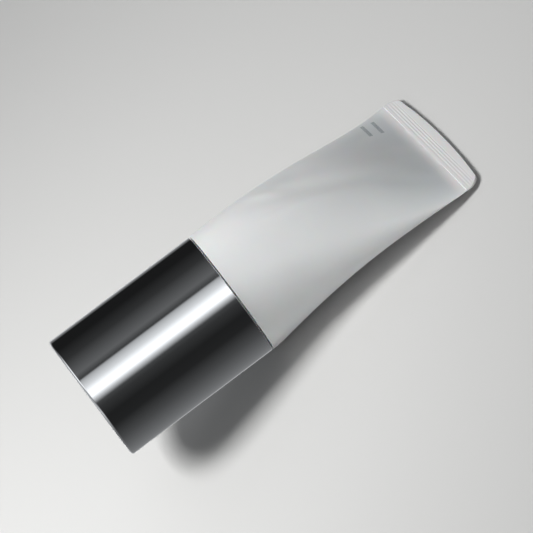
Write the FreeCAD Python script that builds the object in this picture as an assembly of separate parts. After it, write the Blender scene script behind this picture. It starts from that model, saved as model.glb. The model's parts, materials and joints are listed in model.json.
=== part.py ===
import FreeCAD, Part
import math
import os
from FreeCAD import Vector

# Screw-cap squeeze tube for shaving cream, in millimetres.
#
# Every piece is first built upright about the tube's axis: +Z runs from the tail out through
# the cap, the sleeve meets the cap at z = 0, the tail seal is wide along Y and thin along X.
# lay_down then puts the whole tube as it lies on a surface: the lower side of the soft sleeve is
# flat on the surface from the shoulder to the tail seal, so the rigid cap is a little raised.

# Driving dimensions
tube_radius = 20.0            # outside of the sleeve and of the cap
sleeve_length = 75.0          # from the shoulder to the trimmed tail end
sleeve_wall = 0.5
seal_length = 6.0             # welded band across the tail
seal_thickness = 1.2
seal_corner_radius = 4.0
seal_bow = 1.6                # how far the trimmed end stands out in the middle
cap_length = 50.0
cap_gap = 0.4                 # joint line between cap and sleeve
thread_lead = 6.0             # two starts, so the ridges are half of this apart
neck_height = 14.0            # rim of the neck above the sleeve's end

# Sleeve
round_length = 4.0            # round stretch that is welded to the shoulder
upper_fullness = 2.2          # the upper side stays full of cream towards the tail
lower_fullness = 1.0          # the lower side lies straight on the surface
cavity_end = 0.97             # where the two films meet, as a share of the way to the seal
least_half_gap = 0.2
stations = [0.0, 0.12, 0.25, 0.4, 0.55, 0.7, 0.82, 0.92, 1.0]
seal_rib_count = 5
seal_rib_depth = 0.15
seal_rib_width = 0.5

# Shoulder and neck
weld_skirt_length = 3.0
ledge_radius = 18.6
ledge_height = 1.0
neck_root_height = 4.5
neck_radius = 6.9
neck_thread_radius = 7.9
shoulder_wall = 1.5
orifice_radius = 3.0
neck_bore_radius = 4.4
neck_rim_thickness = 2.0
rim_chamfer = 0.4

# Threads
thread_start_height = 6.2
thread_turns = 1.0
ridge_base = 1.4
ridge_crest = 0.8
socket_radius = 8.2
socket_thread_radius = 7.2
ridge_root = 0.3              # how far a ridge is sunk into the wall that carries it
socket_thread_start = 7.1

# Cap
shell_wall = 0.6
shell_edge_radius = 0.9
insert_clearance = 0.05
insert_wall = 1.0
insert_start = 2.5
insert_end = 48.0
web_height = 6.0
web_thickness = 1.5
socket_wall = 1.8
socket_roof = 1.5
insert_rib_count = 8
insert_rib_thickness = 1.0
wad_thickness = 1.2
wad_gap = 0.05

# Cream
cream_gap = 0.15
cream_end = 0.92              # the cream stops short of where the films meet

tail_start = sleeve_length - seal_length
upright = Vector(0, 0, 1)


def cylinder(radius, bottom, top):
    return Part.makeCylinder(radius, top - bottom, Vector(0, 0, bottom), upright)


def revolved(outline):
    """Solid of revolution about Z from a closed outline of (radius, height) points."""
    points = [Vector(radius, 0, height) for radius, height in outline]
    face = Part.Face(Part.makePolygon(points + points[:1]))
    return face.revolve(Vector(0, 0, 0), upright, 360)


def ellipse_girth(wide, high):
    """Girth of an ellipse with these half axes (Ramanujan's formula)."""
    return math.pi * (3 * (wide + high) - math.sqrt((3 * wide + high) * (wide + 3 * high)))


def half_width(upper, lower, radius):
    """Half width at which a squashed section keeps the girth of the round tube."""
    narrow, wide = radius, math.pi / 2 * radius
    for _ in range(40):
        middle = (narrow + wide) / 2
        girth = (ellipse_girth(middle, upper) + ellipse_girth(middle, lower)) / 2
        if girth < 2 * math.pi * radius:
            narrow = middle
        else:
            wide = middle
    return narrow


def side_curve(wide, high, height):
    """Half ellipse across the tube, over x = high, with its ends at y = wide and y = -wide."""
    first = wide if high > 0 else -wide
    ellipse = Part.Ellipse(Vector(0, first, height), Vector(high, 0, height), Vector(0, 0, height))
    return ellipse.toShape(0, math.pi)


def tube_section(share, inset, least):
    """Section of the sleeve, this share of the way from round to flat, inset from its outside."""
    inner_radius = tube_radius - sleeve_wall
    upper = inner_radius * (1 - share ** upper_fullness) + sleeve_wall - inset
    lower = inner_radius * (1 - share ** lower_fullness) + sleeve_wall - inset
    upper = max(upper, least)
    lower = max(lower, least)
    wide = max(half_width(upper + inset, lower + inset, tube_radius) - inset, upper)
    height = -round_length - share * (tail_start - round_length)
    return Part.Wire([side_curve(wide, upper, height), side_curve(wide, -lower, height)])


def tube_body(inset, top, end_share, least):
    """Closed body with the sleeve's shape, inset from its outside, round down to its taper."""
    shares = [share for share in stations if share < end_share] + [end_share]
    taper = Part.makeLoft([tube_section(share, inset, least) for share in shares], True, False)
    return cylinder(tube_radius - inset, -round_length, top).fuse(taper)


def seal_band():
    """Welded band across the tail: rounded corners, bowed end, cross ribs on both faces."""
    half = math.pi / 2 * tube_radius
    start = -tail_start + 1.0
    end = -sleeve_length + seal_bow
    corner = seal_corner_radius
    slope = math.sqrt(0.5) * corner
    low_left = Vector(0, -half, start)
    low_right = Vector(0, half, start)
    left_top = Vector(0, -half, end + corner)
    left_mid = Vector(0, -half + corner - slope, end + corner - slope)
    left_end = Vector(0, -half + corner, end)
    right_top = Vector(0, half, end + corner)
    right_mid = Vector(0, half - corner + slope, end + corner - slope)
    right_end = Vector(0, half - corner, end)
    outline = Part.Wire([
        Part.LineSegment(low_left, left_top).toShape(),
        Part.Arc(left_top, left_mid, left_end).toShape(),
        Part.Arc(left_end, Vector(0, 0, -sleeve_length), right_end).toShape(),
        Part.Arc(right_end, right_mid, right_top).toShape(),
        Part.LineSegment(right_top, low_right).toShape(),
        Part.LineSegment(low_right, low_left).toShape(),
    ])
    band = Part.Face(outline).extrude(Vector(seal_thickness, 0, 0))
    band.translate(Vector(-seal_thickness / 2, 0, 0))
    pitch = seal_length / (seal_rib_count + 1)
    for index in range(seal_rib_count):
        middle = -tail_start - pitch * (index + 1)
        for face in (-1, 1):
            groove = Part.makeBox(2 * seal_rib_depth, 2 * half + 2, seal_rib_width)
            place = Vector(face * seal_thickness / 2 - seal_rib_depth, -half - 1, middle)
            groove.translate(place)
            band = band.cut(groove)
    return band


def tube_sleeve():
    outside = tube_body(0.0, 0.0, 1.0, seal_thickness / 2)
    cavity = tube_body(sleeve_wall, 1.0, cavity_end, least_half_gap)
    return outside.fuse(seal_band()).cut(cavity).removeSplitter()


def thread_ridges(root_radius, crest_radius, start_height, start_angle):
    """Two-start right-hand ridges between a root radius in the wall and a crest radius."""
    ridges = []
    for start in range(2):
        helix = Part.makeHelix(thread_lead, thread_lead * thread_turns, root_radius)
        profile = Part.makePolygon([
            Vector(root_radius, 0, -ridge_base / 2),
            Vector(crest_radius, 0, -ridge_crest / 2),
            Vector(crest_radius, 0, ridge_crest / 2),
            Vector(root_radius, 0, ridge_base / 2),
            Vector(root_radius, 0, -ridge_base / 2),
        ])
        ridge = Part.Wire(helix).makePipeShell([profile], True, True)
        ridge.rotate(Vector(0, 0, 0), upright, start_angle + 180 * start)
        ridge.translate(Vector(0, 0, start_height))
        ridges.append(ridge)
    return ridges


def tube_shoulder():
    weld_radius = tube_radius - sleeve_wall
    inner_ledge = ledge_radius - shoulder_wall
    body = revolved([
        (neck_bore_radius, neck_root_height - shoulder_wall),
        (inner_ledge, ledge_height - shoulder_wall),
        (weld_radius - shoulder_wall, -weld_skirt_length),
        (weld_radius, -weld_skirt_length),
        (weld_radius, 0),
        (ledge_radius, 0),
        (ledge_radius, ledge_height),
        (neck_radius + 1.5, neck_root_height),
        (neck_radius, neck_root_height + 1.0),
        (neck_radius, neck_height - rim_chamfer),
        (neck_radius - rim_chamfer, neck_height),
        (orifice_radius, neck_height),
        (orifice_radius, neck_height - neck_rim_thickness),
        (neck_bore_radius, neck_height - neck_rim_thickness - 1.0),
    ])
    for ridge in thread_ridges(neck_radius - ridge_root, neck_thread_radius, thread_start_height, 0):
        body = body.fuse(ridge)
    return body


def cream_fill():
    reach = cream_gap + sleeve_wall
    body = tube_body(reach, 0.0, cream_end, least_half_gap)
    skirt_inside = tube_radius - sleeve_wall - shoulder_wall - cream_gap
    below = -weld_skirt_length - cream_gap
    body = body.cut(cylinder(tube_radius + 1, below, 1.0))
    plug = revolved([
        (0, below - 1.0),
        (skirt_inside - 0.3, below - 1.0),
        (skirt_inside - 0.3, below),
        (ledge_radius - shoulder_wall - 0.6, ledge_height - shoulder_wall - 0.2),
        (neck_bore_radius - cream_gap, neck_root_height - shoulder_wall - 0.3),
        (neck_bore_radius - cream_gap, neck_height - neck_rim_thickness - 1.2),
        (orifice_radius - cream_gap, neck_height - neck_rim_thickness - 0.2),
        (orifice_radius - cream_gap, neck_height - 0.5),
        (0, neck_height - 0.5),
    ])
    return body.fuse(plug).removeSplitter()


def cap_shell():
    top = cap_gap + cap_length
    outer = cylinder(tube_radius, cap_gap, top)
    end_edges = [edge for edge in outer.Edges
                 if abs(edge.BoundBox.ZMin - top) < 0.01 and abs(edge.BoundBox.ZMax - top) < 0.01]
    outer = outer.makeFillet(shell_edge_radius, end_edges)
    return outer.cut(cylinder(tube_radius - shell_wall, cap_gap - 1, top - shell_wall))


def cap_insert():
    outer_radius = tube_radius - shell_wall - insert_clearance
    inner_radius = outer_radius - insert_wall
    socket_outer = socket_radius + socket_wall
    roof = neck_height + 2 * wad_gap + wad_thickness
    socket_top = roof + socket_roof
    body = cylinder(outer_radius, insert_start, insert_end).cut(cylinder(inner_radius, 0, insert_end + 1))
    body = body.fuse(cylinder(inner_radius + 0.2, web_height, web_height + web_thickness))
    body = body.fuse(cylinder(socket_outer, web_height, socket_top))
    body = body.cut(cylinder(socket_radius, 0, roof))
    lead_in = revolved([(0, web_height - 0.1), (socket_radius + 0.8, web_height - 0.1),
                        (socket_radius - 0.1, web_height + 0.8), (0, web_height + 0.8)])
    body = body.cut(lead_in)
    rib_length = inner_radius - socket_outer + 0.6
    for index in range(insert_rib_count):
        rib = Part.makeBox(rib_length, insert_rib_thickness, socket_top - web_height - 0.5)
        rib.translate(Vector(socket_outer - 0.3, -insert_rib_thickness / 2, web_height + 0.5))
        rib.rotate(Vector(0, 0, 0), upright, 360 / insert_rib_count * index)
        body = body.fuse(rib)
    half_pitch = thread_lead / 4
    rise = socket_thread_start - thread_start_height + half_pitch
    between_neck_ridges = 360 * rise / thread_lead
    for ridge in thread_ridges(socket_radius + ridge_root, socket_thread_radius,
                               socket_thread_start, between_neck_ridges):
        body = body.fuse(ridge)
    return body


def cap_wad():
    bottom = neck_height + wad_gap
    return cylinder(socket_thread_radius - 0.2, bottom, bottom + wad_thickness)


def lay_down(shapes):
    """Turn every piece from upright to lying, then put the box's bottom centre at the origin."""
    fall = tube_radius - seal_thickness / 2
    tilt = math.degrees(math.atan2(fall, sleeve_length - round_length))
    turn = FreeCAD.Rotation(Vector(0, 1, 0), tilt - 90)
    for shape in shapes.values():
        shape.Placement = FreeCAD.Placement(Vector(0, 0, 0), turn).multiply(shape.Placement)
    box = FreeCAD.BoundBox()
    for shape in shapes.values():
        box.add(shape.optimalBoundingBox())
    centre = Vector((box.XMin + box.XMax) / 2, (box.YMin + box.YMax) / 2, box.ZMin)
    for shape in shapes.values():
        shape.translate(centre.negative())
    axis = turn.multVec(upright)
    print("tilt of the axis, degrees", round(tilt, 4))
    print("direction out of the cap", [round(value, 7) for value in axis])
    print("axis point at the sleeve's end, mm", [round(value, 4) for value in centre.negative()])
    end = centre.negative() + axis * (cap_gap + cap_length)
    print("middle of the cap's end face, mm", [round(value, 4) for value in end])


pieces = {
    "tube_sleeve": tube_sleeve(),
    "tube_shoulder": tube_shoulder(),
    "cream_fill": cream_fill(),
    "cap_shell": cap_shell(),
    "cap_insert": cap_insert(),
    "cap_wad": cap_wad(),
}
lay_down(pieces)
os.makedirs("parts", exist_ok=True)
for name, shape in pieces.items():
    shape.exportStep(f"parts/{name}.step")
    print(name, "solids", len(shape.Solids), "valid", shape.isValid(), "volume", round(shape.Volume, 1))
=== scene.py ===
import bpy
import json
import math
from mathutils import Matrix, Vector


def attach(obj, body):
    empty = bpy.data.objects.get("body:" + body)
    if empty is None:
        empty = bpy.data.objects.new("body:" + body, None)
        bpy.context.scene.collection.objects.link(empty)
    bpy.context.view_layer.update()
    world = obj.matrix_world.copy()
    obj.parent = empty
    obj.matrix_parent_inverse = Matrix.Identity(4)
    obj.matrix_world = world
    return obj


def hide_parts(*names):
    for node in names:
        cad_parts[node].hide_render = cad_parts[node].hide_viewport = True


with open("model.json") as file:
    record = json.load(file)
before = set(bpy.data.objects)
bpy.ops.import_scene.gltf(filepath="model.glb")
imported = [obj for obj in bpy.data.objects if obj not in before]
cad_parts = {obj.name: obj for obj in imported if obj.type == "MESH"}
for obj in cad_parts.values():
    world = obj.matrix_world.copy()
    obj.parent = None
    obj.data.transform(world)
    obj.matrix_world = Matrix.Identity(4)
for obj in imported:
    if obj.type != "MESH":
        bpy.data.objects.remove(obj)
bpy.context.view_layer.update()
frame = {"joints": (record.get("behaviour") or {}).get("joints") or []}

# Every piece is modelled upright, in millimetres about the tube's axis: z runs out through the cap
# from the sleeve's round end, y across the flat tail, x through it. layDown puts it in the frame.
capTurn = [joint for joint in frame["joints"] if joint["name"] == "cap_turn"][0]
outOfCap = Vector(capTurn["axis"]).normalized()
sleeveEnd = Vector(capTurn["pos_m"])
acrossTail = Vector((0, 1, 0))
upperSide = acrossTail.cross(outOfCap).normalized()
metresPerMillimetre = 0.001
poleRadius = 0.001    # a turned outline starts and ends this far from the axis, then its poles merge
tolerances = {"merge": 0.004, "sliver": 0.002, "level": 0.001}

tube = {"radius": 20.0, "length": 75.0, "capLength": 50.0, "capGap": 0.4}


def deselectAll():
    if bpy.context.object and bpy.context.object.mode != "OBJECT":
        bpy.ops.object.mode_set(mode="OBJECT")
    bpy.ops.object.select_all(action="DESELECT")


def startRing(name, radius, height, around):
    # A circle of points about the axis, left in edit mode with all of it selected.
    deselectAll()
    bpy.ops.mesh.primitive_circle_add(vertices=around, radius=radius, location=(0, 0, height))
    piece = bpy.context.object
    piece.name = piece.data.name = name
    bpy.ops.object.transform_apply(location=True, rotation=True, scale=True)
    bpy.ops.object.mode_set(mode="EDIT")
    bpy.ops.mesh.select_all(action="SELECT")
    return piece


def extrudeRing(rise, growth):
    # Extrudes the selected ring along the axis, then scales it about the axis.
    bpy.ops.mesh.extrude_region_move(TRANSFORM_OT_translate={"value": (0, 0, rise)})
    if growth != 1:
        bpy.ops.transform.resize(value=(growth, growth, 1), center_override=(0, 0, 0))


def lathe(name, outline, around):
    # Extrudes an outline of (radius, height) points ring by ring; closeLathe then closes the piece.
    radius, height = outline[0]
    piece = startRing(name, radius, height, around)
    for nextRadius, nextHeight in outline[1:]:
        extrudeRing(nextHeight - height, nextRadius / radius)
        radius, height = nextRadius, nextHeight
    bpy.ops.object.mode_set(mode="OBJECT")
    return piece


def closeLathe(piece):
    # Merges a turned piece's poles or first and last rings, and turns its faces outward.
    bpy.ops.object.mode_set(mode="EDIT")
    bpy.ops.mesh.select_all(action="SELECT")
    bpy.ops.mesh.remove_doubles(threshold=tolerances["merge"])
    bpy.ops.mesh.select_all(action="SELECT")
    bpy.ops.mesh.normals_make_consistent(inside=False)
    bpy.ops.object.mode_set(mode="OBJECT")


def roundedOutline(corners, arcSteps=5):
    # Points of an outline through (radius, height, rounding) corners, each rounding made an arc.
    points = []
    for index, (radius, height, rounding) in enumerate(corners):
        here = Vector((radius, height))
        if rounding == 0:
            points.append(here)
            continue
        before = (Vector(corners[index - 1][:2]) - here).normalized()
        after = (Vector(corners[index + 1][:2]) - here).normalized()
        halfTurn = before.angle(after) / 2
        centre = here + (before + after).normalized() * rounding / math.sin(halfTurn)
        first = here + before * rounding / math.tan(halfTurn) - centre
        last = here + after * rounding / math.tan(halfTurn) - centre
        startAngle = math.atan2(first.y, first.x)
        turn = (math.atan2(last.y, last.x) - startAngle + math.pi) % (2 * math.pi) - math.pi
        for step in range(arcSteps + 1):
            angle = startAngle + turn * step / arcSteps
            points.append(centre + rounding * Vector((math.cos(angle), math.sin(angle))))
    return points


def selectOnly(piece):
    deselectAll()
    piece.select_set(True)
    bpy.context.view_layer.objects.active = piece


def combine(piece, tools, operation):
    # Unites other closed pieces with this one, or cuts them from it.
    for tool in tools:
        modifier = piece.modifiers.new("combine", "BOOLEAN")
        modifier.operation = operation
        modifier.solver = "EXACT"
        modifier.object = tool
        selectOnly(piece)
        bpy.ops.object.modifier_apply(modifier=modifier.name)
        bpy.data.objects.remove(tool)
    bpy.ops.object.mode_set(mode="EDIT")
    bpy.ops.mesh.select_all(action="SELECT")
    bpy.ops.mesh.dissolve_degenerate(threshold=tolerances["sliver"])
    bpy.ops.object.mode_set(mode="OBJECT")


def smoothShade(piece, degrees=35):
    selectOnly(piece)
    bpy.ops.object.shade_smooth_by_angle(angle=math.radians(degrees))


def layDown(piece):
    # Takes a finished piece from upright millimetres to its place in the frame, in metres.
    turn = Matrix((upperSide, acrossTail, outOfCap)).transposed()
    place = Matrix.Translation(sleeveEnd) @ (turn * metresPerMillimetre).to_4x4()
    place[3][3] = 1
    selectOnly(piece)
    piece.matrix_world = place
    bpy.ops.object.transform_apply(location=True, rotation=True, scale=True)


def hexColour(code):
    # An sRGB hex value as a linear colour.
    parts = [int(code[index:index + 2], 16) / 255 for index in (1, 3, 5)]
    linear = [part / 12.92 if part <= 0.04045 else ((part + 0.055) / 1.055) ** 2.4 for part in parts]
    return (*linear, 1)


def addNode(tree, kind, settings=None, links=None):
    # Adds a node, sets its sockets or properties by name, and links sockets from (node, output).
    node = tree.nodes.new(kind)
    for key, value in (settings or {}).items():
        if hasattr(node, str(key)):
            setattr(node, key, value)
        else:
            node.inputs[key].default_value = value
    for key, (source, output) in (links or {}).items():
        tree.links.new(source.outputs[output], node.inputs[key])
    return node


def startMaterial(name, **surface):
    # A material with its Principled shader; surface sets the shader's sockets by name.
    material = bpy.data.materials.new(name)
    material.use_nodes = True
    tree = material.node_tree
    shader = tree.nodes["Principled BSDF"]
    for socket, value in surface.items():
        shader.inputs[socket.replace("_", " ")].default_value = value
    return material, tree, shader


sleeve = {
    "around": 192,
    "wall": 0.5,
    "upperTaperStart": 4.0,      # the upper side stays round this far from the shoulder
    "lowerTaperStart": 1.0,
    "lowerEase": 0.03,           # softens the end of the lower side's straight run
    "upperEase": 1.6,            # softens where the upper film runs into the flat band
    "bodyRings": 92,
    "sealLength": 6.0,
    "sealHalf": 0.58,
    "sealRings": 48,
    "bandSideSharpness": 0.3,    # low values square off the sides of the flat band
    "foldSharpness": 0.12,       # pinches the sides where the film folds towards the tail
    "foldFrom": 0.7,             # share of the taper after which it does
    "upperFullness": 2.2,
    "ribPitch": 0.8,
    "ribDepth": 0.06,
    "ribMargin": 0.8,
    "cornerRadius": 4.0,
    "bow": 1.6,
    "innerRings": 48,
    "innerReach": 0.96,          # how far down the inner wall runs before the films meet
    "smoothDegrees": 24,
}

# Soft dents in the upper film: middle (y, z), turn in degrees from y, half length and half width.
# A negative depth is a ridge beside a crease.
dents = [
    {"middle": (-10.5, -33.0), "turn": 84, "long": 15.0, "wide": 2.2, "depth": -0.42},
    {"middle": (-4.0, -36.0), "turn": 76, "long": 14.0, "wide": 3.8, "depth": 0.75},
    {"middle": (8.0, -33.0), "turn": 62, "long": 9.0, "wide": 5.5, "depth": 0.35},
    {"middle": (2.5, -24.0), "turn": 48, "long": 6.0, "wide": 2.0, "depth": -0.2},
    {"middle": (16.0, -58.0), "turn": -62, "long": 8.0, "wide": 2.6, "depth": 0.3},
    {"middle": (-16.0, -58.0), "turn": 64, "long": 8.0, "wide": 2.8, "depth": 0.3},
    {"middle": (1.0, -60.0), "turn": 86, "long": 7.0, "wide": 4.0, "depth": 0.25},
]


def ellipseGirth(wide, high):
    return math.pi * (3 * (wide + high) - math.sqrt((3 * wide + high) * (wide + 3 * high)))


def halfWidth(upper, lower):
    # Half width at which the squashed film keeps the girth of the round tube.
    narrow, wide = tube["radius"], math.pi / 2 * tube["radius"]
    girth = 2 * math.pi * tube["radius"]
    halvings = 30
    for _ in range(halvings):
        middle = (narrow + wide) / 2
        if (ellipseGirth(middle, upper) + ellipseGirth(middle, lower)) / 2 < girth:
            narrow = middle
        else:
            wide = middle
    return narrow


def smoothStep(value, low, high):
    share = min(max((value - low) / (high - low), 0), 1)
    return share * share * (3 - 2 * share)


def sectionAt(depth):
    # Half width, upper and lower half heights and fold sharpness at a depth below the round end.
    s = sleeve
    sealStart = tube["length"] - s["sealLength"]
    full = tube["radius"] - s["sealHalf"]
    upperShare = max(depth - s["upperTaperStart"], 0) / (sealStart - s["upperTaperStart"])
    lowerShare = max(depth - s["lowerTaperStart"], 0) / (sealStart - s["lowerTaperStart"])
    ease = s["lowerEase"]
    eased = (math.sqrt(lowerShare ** 2 + ease ** 2) - ease) / (math.sqrt(1 + ease ** 2) - ease)
    upper = full * (1 - min(upperShare, 1) ** s["upperFullness"])
    soft = s["upperEase"]
    upper = full * (math.hypot(upper, soft) - soft) / (math.hypot(full, soft) - soft) + s["sealHalf"]
    lower = full * (1 - min(eased, 1)) + s["sealHalf"]
    fold = s["foldSharpness"] * smoothStep(upperShare, s["foldFrom"], 1.0)
    return halfWidth(upper, lower), upper, lower, fold


def dentDepth(y, z):
    # How far the upper film is pressed in at this place.
    total = 0
    for dent in dents:
        turn = math.radians(dent["turn"])
        along = (y - dent["middle"][0]) * math.cos(turn) + (z - dent["middle"][1]) * math.sin(turn)
        across = -(y - dent["middle"][0]) * math.sin(turn) + (z - dent["middle"][1]) * math.cos(turn)
        total += dent["depth"] * math.exp(-(along / dent["long"]) ** 2 - (across / dent["wide"]) ** 2)
    return total


def tailEndAt(y):
    # Depth of the trimmed end at this place across the tail: bowed, with rounded corners.
    s = sleeve
    half = math.pi / 2 * tube["radius"]
    end = tube["length"] - s["bow"] * (y / half) ** 2
    past = max(abs(y) - (half - s["cornerRadius"]), 0)
    return end - s["cornerRadius"] + math.sqrt(max(s["cornerRadius"] ** 2 - past ** 2, 0))


def bandHalf(depth):
    # Half thickness of the welded band, with its pressed cross ribs.
    s = sleeve
    start = tube["length"] - s["sealLength"]
    inBand = start + s["ribMargin"] < depth < tube["length"] - s["ribMargin"] - s["bow"]
    wave = (1 - math.cos(2 * math.pi * (depth - start - s["ribMargin"]) / s["ribPitch"])) / 2
    return s["sealHalf"] - (s["ribDepth"] * wave if inBand else 0)


def squeeze(point):
    # Where a point of the round tube's film lies once the tail is squeezed flat.
    s = sleeve
    angle = math.atan2(point.x, point.y)
    depth = -point.z
    sealStart = tube["length"] - s["sealLength"]
    side = 1 if point.x > 0 else -1
    if depth <= sealStart:
        wide, upper, lower, fold = sectionAt(depth)
        y = wide * math.cos(angle)
        x = side * (upper if side > 0 else lower) * abs(math.sin(angle)) ** (1 + fold)
        if side > 0:
            x -= dentDepth(y, point.z) * abs(math.sin(angle))
        return (x, y, point.z)
    y = math.pi / 2 * tube["radius"] * math.cos(angle)
    share = (depth - sealStart) / s["sealLength"]
    z = -(sealStart + share * (tailEndAt(y) - sealStart))
    x = side * bandHalf(-z) * abs(math.sin(angle)) ** s["bandSideSharpness"]
    return (x, y, z)


def makeSleeve():
    s = sleeve
    sealStart = tube["length"] - s["sealLength"]
    piece = startRing("soft_sleeve", tube["radius"], 0, s["around"])
    for _ in range(s["bodyRings"]):
        extrudeRing(-sealStart / s["bodyRings"], 1)
    for _ in range(s["sealRings"]):
        extrudeRing(-s["sealLength"] / s["sealRings"], 1)
    extrudeRing(0, 1)
    bpy.ops.object.mode_set(mode="OBJECT")
    lastRing = len(piece.data.vertices) - s["around"]
    for vertex in piece.data.vertices:
        vertex.co = squeeze(vertex.co)
        if vertex.index >= lastRing:
            vertex.co.x = 0
    addInnerWall(piece)
    closeLathe(piece)
    smoothShade(piece, s["smoothDegrees"])
    return piece


def addInnerWall(piece):
    # Turns the round end in by the film's thickness and runs the inner wall down towards the weld.
    s = sleeve
    reach = s["innerReach"] * (tube["length"] - s["sealLength"])
    bpy.ops.object.mode_set(mode="EDIT")
    bpy.ops.mesh.select_all(action="DESELECT")
    bpy.ops.mesh.select_mode(type="VERT")
    bpy.ops.object.mode_set(mode="OBJECT")
    outerCount = len(piece.data.vertices)
    for vertex in piece.data.vertices:
        vertex.select = vertex.co.z > -tolerances["level"]
    bpy.ops.object.mode_set(mode="EDIT")
    extrudeRing(0, 1 - s["wall"] / tube["radius"])
    for _ in range(s["innerRings"]):
        extrudeRing(-reach / s["innerRings"], 1)
    bpy.ops.mesh.edge_face_add()
    bpy.ops.object.mode_set(mode="OBJECT")
    for vertex in piece.data.vertices[outerCount:]:
        outer = Vector(squeeze(vertex.co))
        inset = 1 - s["wall"] / max(outer.xy.length, 2 * s["wall"])
        vertex.co = (outer.x * inset, outer.y * inset, outer.z)


# Low-density polyethylene film, blown and satin: white, a soft broad highlight, a little light
# passes into it. Small grey dashes stand in for the tiny print near the tail.
sleeveFilm = {
    "colour": "#f0efef",
    "shade": "#e8e7e8",
    "roughness": 0.36,
    "subsurface": 0.12,
    "subsurfaceDepth": 0.002,
    "ior": 1.51,
    "glossRange": (-0.04, 0.05),   # how far the roughness wanders either way
    "cloudsPerMetre": 55,
    "grainMillimetres": 0.35,
    "grainDepth": 0.06,
    "grainStrength": 0.08,
    "inkColour": "#a7acb0",
    "inkMiddle": (21.0, -60.4),    # y and z of the print
    "inkSize": (4.9, 3.3),         # half sizes of the patch
    "inkRows": 2,
    "inkRowShare": 0.3,            # of each row that is inked
    "inkDashes": 13,
    "inkDashShare": 0.72,          # of each dash's pitch that is inked
}


def makeSleeveFilm():
    f = sleeveFilm
    material, tree, shader = startMaterial(
        "satin_polyethylene_film",
        Subsurface_Weight=f["subsurface"],
        Subsurface_Scale=f["subsurfaceDepth"],
        IOR=f["ior"],
    )
    place = addNode(tree, "ShaderNodeTexCoord")
    grain = addNode(tree, "ShaderNodeTexNoise",
                    {"Scale": 1 / (f["grainMillimetres"] * metresPerMillimetre), "Detail": 3},
                    {"Vector": (place, "Object")})
    cloud = addNode(tree, "ShaderNodeTexNoise", {"Scale": f["cloudsPerMetre"], "Detail": 4},
                    {"Vector": (place, "Object")})
    tone = addNode(tree, "ShaderNodeMix", {"data_type": "RGBA"}, {"Factor": (cloud, "Fac")})
    tone.inputs[6].default_value = hexColour(f["colour"])
    tone.inputs[7].default_value = hexColour(f["shade"])
    ink = inkMask(tree)
    printed = addNode(tree, "ShaderNodeMix", {"data_type": "RGBA"}, {"Factor": ink})
    tree.links.new(tone.outputs[2], printed.inputs[6])
    printed.inputs[7].default_value = hexColour(f["inkColour"])
    tree.links.new(printed.outputs[2], shader.inputs["Base Color"])
    rough = addNode(tree, "ShaderNodeMapRange",
                    {"From Min": 0.3, "From Max": 0.7, "To Min": f["roughness"] + f["glossRange"][0],
                     "To Max": f["roughness"] + f["glossRange"][1]}, {"Value": (cloud, "Fac")})
    tree.links.new(rough.outputs["Result"], shader.inputs["Roughness"])
    bump = addNode(tree, "ShaderNodeBump",
                   {"Strength": f["grainStrength"], "Distance": f["grainDepth"] * metresPerMillimetre},
                   {"Height": (grain, "Fac")})
    tree.links.new(bump.outputs["Normal"], shader.inputs["Normal"])
    return material


def uprightPlace(tree):
    # Object coordinates turned to the tube's own, in millimetres: the node, and its X, Y and Z apart.
    place = addNode(tree, "ShaderNodeTexCoord")
    turn = Matrix((upperSide, acrossTail, outOfCap)).transposed().to_euler()
    upright = addNode(tree, "ShaderNodeMapping",
                      {"vector_type": "TEXTURE", "Location": sleeveEnd, "Rotation": turn,
                       "Scale": (metresPerMillimetre,) * 3}, {"Vector": (place, "Object")})
    return upright, addNode(tree, "ShaderNodeSeparateXYZ", None, {"Vector": (upright, "Vector")})


def inkMask(tree):
    # White where the small printed dashes are: rows along y on the upper film near the tail.
    f = sleeveFilm
    split = uprightPlace(tree)[1]

    def inside(source, output, middle, half):
        return addNode(tree, "ShaderNodeMath",
                       {"operation": "COMPARE", 1: middle, 2: half}, {0: (source, output)})

    def stripes(source, output, middle, half, count, filled):
        start = middle - half
        scaled = addNode(tree, "ShaderNodeMapRange",
                         {"clamp": False, "From Min": start, "From Max": start + 2 * half,
                          "To Min": 0, "To Max": count}, {"Value": (source, output)})
        part = addNode(tree, "ShaderNodeMath", {"operation": "FRACT"}, {0: (scaled, "Result")})
        return addNode(tree, "ShaderNodeMath", {"operation": "LESS_THAN", 1: filled},
                       {0: (part, "Value")})

    masks = [
        inside(split, "Y", f["inkMiddle"][0], f["inkSize"][0]),
        inside(split, "Z", f["inkMiddle"][1], f["inkSize"][1]),
        stripes(split, "Z", f["inkMiddle"][1], f["inkSize"][1], f["inkRows"], f["inkRowShare"]),
        stripes(split, "Y", f["inkMiddle"][0], f["inkSize"][0], f["inkDashes"],
                f["inkDashShare"]),
        addNode(tree, "ShaderNodeMath", {"operation": "GREATER_THAN", 1: 0.0}, {0: (split, "X")}),
    ]
    product = masks[0]
    for mask in masks[1:]:
        product = addNode(tree, "ShaderNodeMath", {"operation": "MULTIPLY"},
                          {0: (product, "Value"), 1: (mask, "Value")})
    return (product, "Value")


capShell = {
    "around": 256,
    "wall": 0.6,
    "endRadius": 0.9,
    "mouthRadius": 0.22,
    "stepRadius": 17.4,       # small step round the end face
    "stepDepth": 0.14,
    "stepWidth": 0.25,
    "stepRounding": 0.2,
    "insideRounding": 0.3,
    "dishSag": 0.3,           # how far the end face is dished at its middle
    "dishRings": 18,
    "arcSteps": 8,
}


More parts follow.
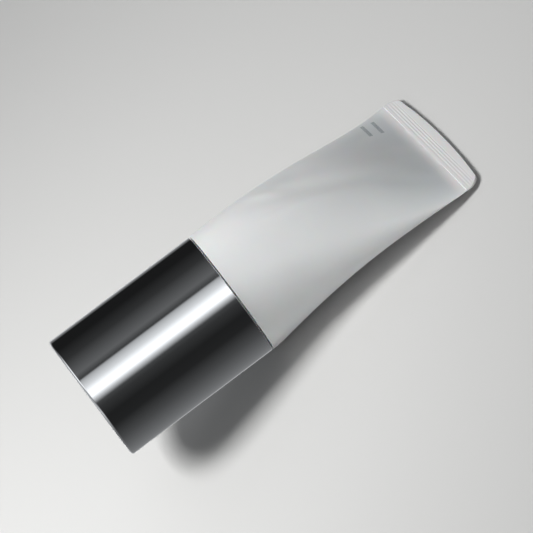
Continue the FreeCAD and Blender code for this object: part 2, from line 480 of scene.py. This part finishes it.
def makeCapShell():
    c = capShell
    bottom = tube["capGap"]
    top = bottom + tube["capLength"]
    outer, inner = tube["radius"], tube["radius"] - c["wall"]
    low = top - c["stepDepth"]
    dish = []
    for index in range(c["dishRings"]):
        share = index / c["dishRings"]
        dish.append((max(share * c["stepRadius"], poleRadius), low - c["dishSag"] * (1 - share ** 2), 0))
    outline = roundedOutline(dish + [
        (c["stepRadius"], low, 0),
        (c["stepRadius"] + c["stepWidth"], top, c["stepRounding"]),
        (outer, top, c["endRadius"]),
        (outer, bottom, c["mouthRadius"]),
        (inner, bottom, c["mouthRadius"]),
        (inner, top - c["wall"], c["insideRounding"]),
        (poleRadius, top - c["wall"], 0),
    ], c["arcSteps"])
    piece = lathe("cap_shell_polished", outline, c["around"])
    closeLathe(piece)
    smoothShade(piece)
    return piece


# Deep-drawn aluminium, polished and clear anodised: near-mirror, slightly cool, with a faint drawn
# haze around it that softens reflections a little.
polishedAluminium = {
    "colour": "#e6e8ea",
    "roughness": 0.065,
    "hazeSpread": 0.04,
    "hazeRange": (0.75, 1.4),       # of the two noises added, from clearest to haziest
    "smearsPerMillimetre": 0.09,
    "hairlineMillimetres": 0.12,    # drawn coarser than the real 0.02 so that it shows
    "hairlineLength": 9.0,
    "spinPitch": 0.32,              # turned lines on the end face, coarser than the real 0.1
    "spinDepth": 0.0035,
    "spinMargin": 0.2,              # plain edge inside the step
}


def makePolishedAluminium():
    p = polishedAluminium
    material, tree, shader = startMaterial(
        "polished_anodised_aluminium", Base_Color=hexColour(p["colour"]), Metallic=1.0)
    upright, split = uprightPlace(tree)
    smears = addNode(tree, "ShaderNodeTexNoise",
                     {"Scale": p["smearsPerMillimetre"], "Detail": 6, "Roughness": 0.6},
                     {"Vector": (upright, "Vector")})
    angle = addNode(tree, "ShaderNodeMath", {"operation": "ARCTAN2"}, {0: (split, "Y"), 1: (split, "X")})
    arc = addNode(tree, "ShaderNodeMath",
                  {"operation": "MULTIPLY", 1: tube["radius"] / p["hairlineLength"]},
                  {0: (angle, "Value")})
    height = addNode(tree, "ShaderNodeMath", {"operation": "DIVIDE", 1: p["hairlineMillimetres"]},
                     {0: (split, "Z")})
    stretched = addNode(tree, "ShaderNodeCombineXYZ", None, {"X": (arc, "Value"), "Y": (height, "Value")})
    hairlines = addNode(tree, "ShaderNodeTexNoise", {"Scale": 1.0, "Detail": 2},
                        {"Vector": (stretched, "Vector")})
    both = addNode(tree, "ShaderNodeMath", {"operation": "ADD"},
                   {0: (smears, "Fac"), 1: (hairlines, "Fac")})
    rough = addNode(tree, "ShaderNodeMapRange",
                    {"From Min": p["hazeRange"][0], "From Max": p["hazeRange"][1],
                     "To Min": p["roughness"] - p["hazeSpread"] / 2,
                     "To Max": p["roughness"] + p["hazeSpread"]}, {"Value": (both, "Value")})
    tree.links.new(rough.outputs["Result"], shader.inputs["Roughness"])

    # Turned lines on the end face only, as rings about the axis.
    flat = addNode(tree, "ShaderNodeCombineXYZ", None, {"X": (split, "X"), "Y": (split, "Y")})
    radius = addNode(tree, "ShaderNodeVectorMath", {"operation": "LENGTH"}, {0: (flat, "Vector")})
    turns = addNode(tree, "ShaderNodeMath", {"operation": "MULTIPLY", 1: 2 * math.pi / p["spinPitch"]},
                    {0: (radius, "Value")})
    wave = addNode(tree, "ShaderNodeMath", {"operation": "SINE"}, {0: (turns, "Value")})
    endTop = tube["capGap"] + tube["capLength"]
    onEnd = addNode(tree, "ShaderNodeMath", {"operation": "GREATER_THAN", 1: endTop - capShell["wall"]},
                    {0: (split, "Z")})
    withinStep = addNode(tree, "ShaderNodeMath",
                         {"operation": "LESS_THAN", 1: capShell["stepRadius"] - p["spinMargin"]},
                         {0: (radius, "Value")})
    rings = wave
    for mask in (onEnd, withinStep):
        rings = addNode(tree, "ShaderNodeMath", {"operation": "MULTIPLY"},
                        {0: (rings, "Value"), 1: (mask, "Value")})
    bump = addNode(tree, "ShaderNodeBump",
                   {"Strength": 1.0, "Distance": p["spinDepth"] * metresPerMillimetre},
                   {"Height": (rings, "Value")})
    tree.links.new(bump.outputs["Normal"], shader.inputs["Normal"])
    return material


moulded = {"cloudsPerMetre": 120, "glossRange": (-0.06, 0.07)}


def makeMouldedPlastic(name, finish):
    # A waxy moulded plastic: clouded tone, the mould's eroded texture as bump and uneven gloss.
    material, tree, shader = startMaterial(
        name, Subsurface_Weight=finish["subsurface"], Subsurface_Scale=finish["subsurfaceDepth"],
        IOR=finish["ior"])
    place = addNode(tree, "ShaderNodeTexCoord")
    grain = addNode(tree, "ShaderNodeTexNoise",
                    {"Scale": 1 / (finish["grainMillimetres"] * metresPerMillimetre), "Detail": 4},
                    {"Vector": (place, "Object")})
    cloud = addNode(tree, "ShaderNodeTexNoise", {"Scale": moulded["cloudsPerMetre"], "Detail": 3},
                    {"Vector": (place, "Object")})
    tone = addNode(tree, "ShaderNodeMix", {"data_type": "RGBA", 6: hexColour(finish["colour"]),
                                           7: hexColour(finish["shade"])}, {0: (cloud, "Fac")})
    tree.links.new(tone.outputs[2], shader.inputs["Base Color"])
    rough = addNode(tree, "ShaderNodeMapRange",
                    {"To Min": finish["roughness"] + moulded["glossRange"][0],
                     "To Max": finish["roughness"] + moulded["glossRange"][1]},
                    {"Value": (grain, "Fac")})
    tree.links.new(rough.outputs["Result"], shader.inputs["Roughness"])
    bump = addNode(tree, "ShaderNodeBump",
                   {"Strength": 1.0, "Distance": finish["grainDepth"] * metresPerMillimetre},
                   {"Height": (grain, "Fac")})
    tree.links.new(bump.outputs["Normal"], shader.inputs["Normal"])
    return material


# High-density polyethylene of the shoulder: white, waxy, a little light passes into it.
shoulderPlastic = {
    "colour": "#eff1f1",
    "shade": "#e8ebec",
    "roughness": 0.36,
    "ior": 1.54,
    "subsurface": 0.15,
    "subsurfaceDepth": 0.002,
    "grainMillimetres": 0.2,
    "grainDepth": 0.004,
}

# Polypropylene of the cap's insert: milky, harder and glossier than the shoulder.
insertPlastic = {
    "colour": "#e9ebea",
    "shade": "#e1e4e4",
    "roughness": 0.27,
    "ior": 1.49,
    "subsurface": 0.2,
    "subsurfaceDepth": 0.003,
    "grainMillimetres": 0.3,
    "grainDepth": 0.003,
}

# Expanded polyethylene foam of the sealing wad: matt, with closed cells under a thin skin.
wadFoam = {
    "colour": "#e3e2dc",
    "shade": "#d6d5ce",
    "roughness": 0.62,
    "ior": 1.5,
    "subsurface": 0.25,
    "subsurfaceDepth": 0.001,
    "grainMillimetres": 0.3,
    "grainDepth": 0.03,
}

# Brushless shaving cream: a pearly white soap emulsion, wet and smooth, soft light inside it.
creamSoap = {
    "colour": "#f8f8f4",
    "shade": "#f2f3ef",
    "roughness": 0.2,
    "ior": 1.42,
    "subsurface": 0.5,
    "subsurfaceDepth": 0.002,
    "grainMillimetres": 1.2,
    "grainDepth": 0.02,
}


thread = {
    "lead": 6.0,               # two starts
    "turns": 1.0,
    "base": 1.4,
    "crest": 0.8,
    "sunk": 0.3,               # how far a ridge is set into its wall
    "steps": 96,
    "fade": 0.09,              # share of the ridge over which each end runs out
    "fadedRise": 0.06,         # share of its height and of its width left at the very end
    "fadedWidth": 0.35,
    "barSides": 14,
}


def makeRidges(name, rootRadius, crestRadius, startHeight, startAngle):
    # Thread ridges: a rounded bar is extruded straight, then wrapped up its helix with faded ends.
    t = thread
    ridges = []
    for start in range(2):
        deselectAll()
        bpy.ops.mesh.primitive_circle_add(vertices=t["barSides"], radius=1, fill_type="NGON",
                                          rotation=(math.pi / 2, 0, 0))
        ridge = bpy.context.object
        ridge.name = ridge.data.name = name
        bpy.ops.object.transform_apply(location=True, rotation=True, scale=True)
        bpy.ops.object.mode_set(mode="EDIT")
        bpy.ops.mesh.select_all(action="SELECT")
        for _ in range(t["steps"]):
            bpy.ops.mesh.extrude_region_move(TRANSFORM_OT_translate={"value": (0, 1, 0)})
        bpy.ops.object.mode_set(mode="OBJECT")
        for vertex in ridge.data.vertices:
            share = vertex.co.y / t["steps"]
            fade = smoothStep(min(share, 1 - share), 0, t["fade"])
            outward = (vertex.co.x + 1) / 2
            rise = t["fadedRise"] + (1 - t["fadedRise"]) * fade
            radius = rootRadius + (crestRadius - rootRadius) * outward * rise
            half = (t["base"] + (t["crest"] - t["base"]) * outward) / 2
            side = math.copysign(math.sqrt(abs(vertex.co.z)), vertex.co.z)
            angle = startAngle + math.pi * start + 2 * math.pi * t["turns"] * share
            spread = t["fadedWidth"] + (1 - t["fadedWidth"]) * fade
            height = startHeight + t["lead"] * t["turns"] * share + half * side * spread
            vertex.co = (radius * math.cos(angle), radius * math.sin(angle), height)
        closeLathe(ridge)
        ridges.append(ridge)
    return ridges


shoulder = {
    "around": 192,
    "wall": 1.5,
    "skirt": 3.0,              # welded inside the sleeve's end
    "ledgeRadius": 18.6,
    "ledgeHeight": 1.0,
    "neckRoot": 4.5,
    "neckRadius": 6.9,
    "threadRadius": 7.9,
    "threadStart": 6.2,
    "neckHeight": 14.0,
    "orifice": 3.0,
    "bore": 4.4,
    "rim": 2.0,
    "weldGap": 0.02,           # between the skirt and the film's inside
    "flare": (1.5, 1.0),       # out from and up the foot of the neck
    "orificeTaper": 1.0,
    "partingLine": 0.05,       # faint raised line down both sides of the neck
    "partingHalf": 0.12,
    "partingFrom": 0.4,
    "smoothDegrees": 40,
}


def makeShoulder():
    s = shoulder
    weld = tube["radius"] - sleeve["wall"]
    flareOut, flareUp = s["flare"]
    start = (s["bore"], (s["neckRoot"] + s["neckHeight"]) / 2, 0)
    outline = roundedOutline([
        start,
        (s["bore"], s["neckRoot"] - s["wall"], 0.6),
        (s["ledgeRadius"] - s["wall"], s["ledgeHeight"] - s["wall"], 0.8),
        (weld - s["wall"], -s["skirt"], 0.2),
        (weld - s["weldGap"], -s["skirt"], 0.2),
        (weld - s["weldGap"], 0, 0.05),
        (s["ledgeRadius"], 0, 0.12),
        (s["ledgeRadius"], s["ledgeHeight"], 0.3),
        (s["neckRadius"] + flareOut, s["neckRoot"], 1.2),
        (s["neckRadius"], s["neckRoot"] + flareUp, 0.5),
        (s["neckRadius"], s["neckHeight"], 0.45),
        (s["orifice"], s["neckHeight"], 0.3),
        (s["orifice"], s["neckHeight"] - s["rim"], 0.2),
        (s["bore"], s["neckHeight"] - s["rim"] - s["orificeTaper"], 0.3),
        start,
    ])
    piece = lathe("threaded_shoulder", outline, s["around"])
    closeLathe(piece)
    for vertex in piece.data.vertices:
        onLine = vertex.co.z > s["partingFrom"] and abs(vertex.co.y) < s["partingHalf"]
        if onLine and vertex.co.xy.length > s["neckRadius"] - 0.1:
            vertex.co.x += math.copysign(s["partingLine"], vertex.co.x)
    combine(piece, makeRidges("neck_ridge", s["neckRadius"] - thread["sunk"], s["threadRadius"],
                              s["threadStart"], 0), "UNION")
    smoothShade(piece, s["smoothDegrees"])
    return piece


cream = {
    "around": 96,
    "gap": 0.65,               # from the outside of the film to the cream
    "clearance": 0.15,         # inside the neck and below the skirt
    "skirtGap": 0.45,
    "headGap": (0.6, 0.2),     # under the shoulder's slope, in radius and height
    "rimGap": 0.2,
    "rootGap": 0.3,
    "skirtRise": 0.01,         # keeps the step out to the film from lying quite flat
    "swirlBand": 0.1,          # points this close below the top height are swirled
    "endShare": 0.92,          # how far it fills the tail
    "rings": 60,
    "endShares": (0.6, 0.3, 0.00005),    # rings that close the tail end
    "topHeight": 13.3,
    "swirlDepth": 0.16,
    "swirlTurns": 1.6,
    "swirlRings": 14,
}


def makeCream():
    c = cream
    s = shoulder
    clear = c["clearance"]
    headOut, headUp = c["headGap"]
    bodyRadius = tube["radius"] - c["gap"]
    skirtRadius = tube["radius"] - sleeve["wall"] - s["wall"] - c["skirtGap"]
    bodyTop = -s["skirt"] - clear
    end = (tube["length"] - sleeve["sealLength"]) * c["endShare"]
    mouth = s["orifice"] - clear
    rim = s["neckHeight"] - s["rim"]
    swirl = [(max(mouth * index / c["swirlRings"], poleRadius), c["topHeight"], 0)
             for index in range(c["swirlRings"])]
    outline = roundedOutline(swirl + [
        (mouth, c["topHeight"], 0.25),
        (mouth, rim - c["rimGap"], 0.1),
        (s["bore"] - clear, rim - s["orificeTaper"] - c["rimGap"], 0.2),
        (s["bore"] - clear, s["neckRoot"] - s["wall"] - c["rootGap"], 0.4),
        (s["ledgeRadius"] - s["wall"] - headOut, s["ledgeHeight"] - s["wall"] - headUp, 0.6),
        (skirtRadius, bodyTop + c["skirtRise"], 0),
        (bodyRadius, bodyTop, 0),
    ])
    for index in range(1, c["rings"] + 1):
        outline.append((bodyRadius, bodyTop + (-end - bodyTop) * index / c["rings"]))
    outline += [(bodyRadius * share, -end) for share in c["endShares"]]
    piece = lathe("shaving_cream", outline, c["around"])
    for vertex in piece.data.vertices:
        radius, angle = vertex.co.xy.length, math.atan2(vertex.co.y, vertex.co.x)
        if vertex.co.z > c["topHeight"] - c["swirlBand"]:
            share = radius / mouth
            wave = math.sin(angle + 2 * math.pi * c["swirlTurns"] * share)
            vertex.co.z += c["swirlDepth"] * (0.5 + wave * share * (1.2 - share)) * (1 - share ** 4)
        elif vertex.co.z < bodyTop + tolerances["level"]:
            share = radius / bodyRadius
            outer = Vector(squeeze(Vector((math.cos(angle), math.sin(angle), vertex.co.z))))
            inset = 1 - c["gap"] / max(outer.xy.length, 2 * c["gap"])
            vertex.co = (outer.x * inset * share, outer.y * inset * share, vertex.co.z)
    closeLathe(piece)
    smoothShade(piece)
    return piece


insert = {
    "around": 192,
    "clearance": 0.05,
    "wall": 1.0,
    "start": 2.5,
    "end": 48.0,
    "webHeight": 6.0,
    "webThickness": 1.5,
    "socketRadius": 8.2,
    "threadRadius": 7.2,
    "threadStart": 7.1,
    "socketWall": 1.8,
    "socketRoof": 1.5,
    "roofGap": 0.05,           # above the wad
    "mouthChamfer": 0.8,
    "ribs": 8,
    "ribThickness": 1.0,
    "ribSunk": 0.3,            # how far each end is set into its wall
    "ribFoot": 0.75,           # start of a rib above the web's underside, inside the web
    "ribDrop": 1.0,            # how much lower a rib is than the socket above the web
    "pinMarks": 4,
    "pinRadius": 1.5,
    "pinDepth": 0.12,
    "pinPlace": 13.8,
    "smoothDegrees": 40,
}


def makeInsert():
    i = insert
    outer = tube["radius"] - capShell["wall"] - i["clearance"]
    inner = outer - i["wall"]
    roof = wad["bottom"] + wad["thickness"] + i["roofGap"]
    top = roof + i["socketRoof"]
    socket = i["socketRadius"]
    chamfer = i["mouthChamfer"]
    web = i["webHeight"]
    outline = roundedOutline([
        (poleRadius, top, 0),
        (socket + i["socketWall"], top, 0.3),
        (socket + i["socketWall"], web + i["webThickness"], 0.4),
        (inner, web + i["webThickness"], 0.4),
        (inner, i["end"], 0.2),
        (outer, i["end"], 0.2),
        (outer, i["start"], 0.25),
        (inner, i["start"], 0.25),
        (inner, web, 0.5),
        (socket + chamfer, web, 0.15),
        (socket, web + chamfer, 0.15),
        (socket, roof, 0.3),
        (poleRadius, roof, 0),
    ])
    piece = lathe("cap_insert_moulded", outline, i["around"])
    closeLathe(piece)
    ribs = []
    length = inner - socket - i["socketWall"] + 2 * i["ribSunk"]
    height = top - web - i["ribDrop"]
    middle = (inner + i["ribSunk"] - length / 2, 0, web + i["ribFoot"] + height / 2)
    for index in range(i["ribs"]):
        deselectAll()
        bpy.ops.mesh.primitive_cube_add(size=1, location=middle)
        rib = bpy.context.object
        rib.scale = (length, i["ribThickness"], height)
        bpy.ops.object.transform_apply(location=True, rotation=True, scale=True)
        rib.data.transform(Matrix.Rotation(2 * math.pi * index / i["ribs"], 4, "Z"))
        ribs.append(rib)
    combine(piece, ribs, "UNION")
    marks = []
    for index in range(i["pinMarks"]):
        angle = 2 * math.pi * (index + 0.5) / i["pinMarks"]
        deselectAll()
        bpy.ops.mesh.primitive_cylinder_add(
            vertices=32, radius=i["pinRadius"], depth=2 * i["pinDepth"],
            location=(i["pinPlace"] * math.cos(angle), i["pinPlace"] * math.sin(angle), web))
        bpy.ops.object.transform_apply(location=True, rotation=True, scale=True)
        marks.append(bpy.context.object)
    combine(piece, marks, "DIFFERENCE")
    rise = i["threadStart"] - shoulder["threadStart"] + thread["lead"] / 4
    combine(piece, makeRidges("socket_ridge", socket + thread["sunk"], i["threadRadius"],
                              i["threadStart"], 2 * math.pi * rise / thread["lead"]), "UNION")
    smoothShade(piece, i["smoothDegrees"])
    return piece


wad = {
    "around": 128,
    "bottom": 14.05,
    "thickness": 1.2,
    "radius": 7.0,
    "pressDepth": 0.12,        # ring left by the rim of the neck
    "pressInset": (0.15, 0.1),    # from the neck's outside and from the outlet to the ring's edges
    "pressSlope": (0.2, 0.25),    # width of the ring's outer and inner slopes
}


def makeWad():
    w = wad
    top, press = w["bottom"] + w["thickness"], w["bottom"] + w["pressDepth"]
    ringOuter = shoulder["neckRadius"] - w["pressInset"][0]
    ringInner = shoulder["orifice"] + w["pressInset"][1]
    slopeOut, slopeIn = w["pressSlope"]
    outline = roundedOutline([
        (poleRadius, top, 0),
        (w["radius"], top, 0.2),
        (w["radius"], w["bottom"], 0.15),
        (ringOuter, w["bottom"], 0.05),
        (ringOuter - slopeOut, press, 0.1),
        (ringInner + slopeIn, press, 0.1),
        (ringInner, w["bottom"], 0.05),
        (poleRadius, w["bottom"], 0),
    ])
    piece = lathe("foam_wad", outline, w["around"])
    closeLathe(piece)
    smoothShade(piece)
    return piece


view = {
    "elevation": 32.2,     # of the camera above the flat tail's plane
    "roll": 36.9,          # slope of the tube's axis across the picture
    "distance": 1.3,
    "spanMillimetres": 152.0,
    "sensorMillimetres": 36,
    "clipStart": 0.01,
}


def addCamera():
    v = view
    towardsTail = -outOfCap
    rise = math.radians(v["elevation"])
    towardsCamera = -math.cos(rise) * acrossTail + math.sin(rise) * upperSide
    pictureNormal = math.cos(rise) * upperSide + math.sin(rise) * acrossTail
    capEnd = sleeveEnd + outOfCap * tube["capLength"] * metresPerMillimetre
    middle = sleeveEnd + towardsTail * (tube["length"] - tube["capLength"]) / 2 * metresPerMillimetre
    place = capEnd + towardsCamera * v["distance"]
    slope = math.radians(v["roll"])
    up = math.sin(slope) * towardsTail + math.cos(slope) * pictureNormal
    back = (place - middle).normalized()
    right = up.cross(back).normalized()
    up = back.cross(right)
    lens = bpy.data.cameras.new("camera")
    lens.sensor_width = v["sensorMillimetres"]
    lens.lens = v["sensorMillimetres"] * v["distance"] / (v["spanMillimetres"] * metresPerMillimetre)
    lens.clip_start = v["clipStart"]
    camera = bpy.data.objects.new("camera", lens)
    bpy.context.scene.collection.objects.link(camera)
    camera.matrix_world = Matrix.Translation(place) @ Matrix((right, up, back)).transposed().to_4x4()
    bpy.context.scene.camera = camera
    return towardsCamera, pictureNormal


# The lamps that light the scene: angle over the tube from the camera's side, turn towards the cap,
# both in degrees, then distance and size in metres, and radiance. The key stands close by the cap,
# so its light falls off towards the tail.
lamps = [
    {"name": "key", "over": 58, "turn": 44, "distance": 0.45, "size": (0.2, 0.16), "radiance": 20.5,
     "tint": (1.0, 0.997, 0.99)},
    {"name": "fill", "over": 100, "turn": 10, "distance": 1.6, "size": (1.2, 0.8), "radiance": 0.55,
     "tint": (0.95, 0.97, 1.0)},
    {"name": "low", "over": -8, "turn": 34, "distance": 1.6, "size": (1.2, 0.5), "radiance": 0.8,
     "tint": (0.97, 0.98, 1.0)},
]


def addLamp(lamp, towardsCamera, pictureNormal):
    # A soft rectangular light that faces the tube.
    over, turn = math.radians(lamp["over"]), math.radians(lamp["turn"])
    back = math.cos(over) * towardsCamera + math.sin(over) * pictureNormal
    back = (math.cos(turn) * back + math.sin(turn) * outOfCap).normalized()
    wide, high = lamp["size"]
    light = bpy.data.lights.new(lamp["name"], "AREA")
    light.shape = "RECTANGLE"
    light.size, light.size_y = wide, high
    light.energy = lamp["radiance"] * math.pi * wide * high
    light.color = lamp["tint"]
    softbox = bpy.data.objects.new(lamp["name"], light)
    bpy.context.scene.collection.objects.link(softbox)
    across = (outOfCap - back * outOfCap.dot(back)).normalized()
    softbox.matrix_world = (Matrix.Translation(back * lamp["distance"])
                            @ Matrix((across, back.cross(across), back)).transposed().to_4x4())
    softbox.visible_glossy = False    # what the metal mirrors comes from the room below


paper = {"colour": "#d3d3d2", "roughness": 0.9, "size": 8, "cells": 8}


def addStage(towardsCamera, pictureNormal):
    for lamp in lamps:
        addLamp(lamp, towardsCamera, pictureNormal)
    bpy.ops.mesh.primitive_grid_add(x_subdivisions=paper["cells"], y_subdivisions=paper["cells"],
                                    size=paper["size"], location=(0, 0, 0))
    floor = bpy.context.object
    floor.name = "floor"
    material = startMaterial("matt_pale_paper", Base_Color=hexColour(paper["colour"]),
                             Roughness=paper["roughness"])[0]
    floor.data.materials.append(material)
    floor.visible_glossy = False


# What shiny surfaces mirror of the room, as (degrees, radiance) round the tube from the camera's
# side over the top: a bright strip light beside a paler one, dim walls above, a strip light behind,
# and a dim table below.
roomAround = [
    (-180, 0.7), (-170, 0.5), (-158, 0.24), (-120, 0.15), (-90, 0.075), (-60, 0.02), (-40, 0.017),
    (-20, 0.04), (-12, 0.07), (-4, 0.72), (2, 1.5), (11, 1.4), (20, 0.85), (30, 0.54), (33, 0.42),
    (35, 0.05), (46, 0.14), (63, 0.085), (80, 0.036), (110, 0.012), (144, 0.012), (158, 0.3),
    (168, 0.7), (180, 0.7),
]
# What they mirror towards the two ends of the tube, as (height of the direction, radiance).
roomEnds = [
    (-1.0, 0.06), (-0.4, 0.2), (-0.05, 0.5), (0.06, 0.7), (0.22, 0.5), (0.42, 0.26), (0.62, 0.5),
    (0.8, 1.5), (1.0, 1.5),
]
room = {
    "tint": (0.97, 0.985, 1.0, 1),
    "endsFrom": 0.3,           # share of the direction that lies along the tube
    "endsTo": 0.85,
    "softRadiance": 0.17,      # what matt surfaces see all round
    "softTint": (0.98, 0.99, 1.0, 1),
}


def addWorld(towardsCamera, pictureNormal):
    world = bpy.data.worlds.new("room")
    bpy.context.scene.world = world
    world.use_nodes = True
    tree = world.node_tree
    output = tree.nodes["World Output"]
    tree.nodes.remove(tree.nodes["Background"])
    direction = addNode(tree, "ShaderNodeTexCoord")

    def along(axis):
        return addNode(tree, "ShaderNodeVectorMath", {"operation": "DOT_PRODUCT", 1: axis},
                       {0: (direction, "Generated")})

    def lookUp(source, output, low, high, table):
        share = addNode(tree, "ShaderNodeMapRange", {"From Min": low, "From Max": high},
                        {"Value": (source, output)})
        ramp = addNode(tree, "ShaderNodeValToRGB", None, {"Fac": (share, "Result")})
        stops = ramp.color_ramp.elements
        for index, (value, radiance) in enumerate(table):
            place = (value - table[0][0]) / (table[-1][0] - table[0][0])
            stop = stops[0] if index == 0 else stops.new(place) if index < len(table) - 1 else stops[-1]
            stop.position = place
            stop.color = (radiance, radiance, radiance, 1)
        return ramp

    angle = addNode(tree, "ShaderNodeMath", {"operation": "ARCTAN2"},
                    {0: (along(pictureNormal), "Value"), 1: (along(towardsCamera), "Value")})
    around = lookUp(angle, "Value", -math.pi, math.pi, roomAround)
    ends = lookUp(along((0, 0, 1)), "Value", -1, 1, roomEnds)
    lengthwise = addNode(tree, "ShaderNodeMath", {"operation": "ABSOLUTE"}, {0: (along(outOfCap), "Value")})
    toEnds = addNode(tree, "ShaderNodeMapRange",
                     {"interpolation_type": "SMOOTHSTEP", "From Min": room["endsFrom"],
                      "From Max": room["endsTo"]}, {"Value": (lengthwise, "Value")})
    mirroredColour = addNode(tree, "ShaderNodeMix", {"data_type": "RGBA"},
                             {0: (toEnds, "Result"), 6: (around, "Color"), 7: (ends, "Color")})
    tinted = addNode(tree, "ShaderNodeVectorMath", {"operation": "MULTIPLY", 1: room["tint"][:3]},
                     {0: (mirroredColour, 2)})
    mirrored = addNode(tree, "ShaderNodeBackground", None, {"Color": (tinted, "Vector")})
    soft = addNode(tree, "ShaderNodeBackground",
                   {"Color": room["softTint"], "Strength": room["softRadiance"]})
    path = addNode(tree, "ShaderNodeLightPath")
    mixed = addNode(tree, "ShaderNodeMixShader", None,
                    {0: (path, "Is Glossy Ray"), 1: (soft, "Background"), 2: (mirrored, "Background")})
    tree.links.new(mixed.outputs["Shader"], output.inputs["Surface"])
    bpy.context.scene.view_settings.view_transform = "Standard"


towardsCamera, pictureNormal = addCamera()
addStage(towardsCamera, pictureNormal)
addWorld(towardsCamera, pictureNormal)
print("camera, light and floor are in place")

assembly = [
    (makeSleeve, makeSleeveFilm(), "tube", "tube_sleeve", "sleeve_film"),
    (makeShoulder, makeMouldedPlastic("moulded_polyethylene", shoulderPlastic), "tube", "tube_shoulder",
     "shoulder_plastic"),
    (makeCream, makeMouldedPlastic("shaving_cream_soap", creamSoap), "tube", "cream_fill", "cream"),
    (makeCapShell, makePolishedAluminium(), "cap", "cap_shell", "cap_metal"),
    (makeInsert, makeMouldedPlastic("moulded_polypropylene", insertPlastic), "cap", "cap_insert",
     "cap_plastic"),
    (makeWad, makeMouldedPlastic("polyethylene_foam", wadFoam), "cap_seal", "cap_wad", "wad_foam"),
]
for make, material, body, node, slot in assembly:
    piece = make()
    layDown(piece)
    piece.data.materials.clear()
    piece.data.materials.append(material)
    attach(piece, body)
    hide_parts(node)
    print(piece.name, "is made:", len(piece.data.polygons), "faces")
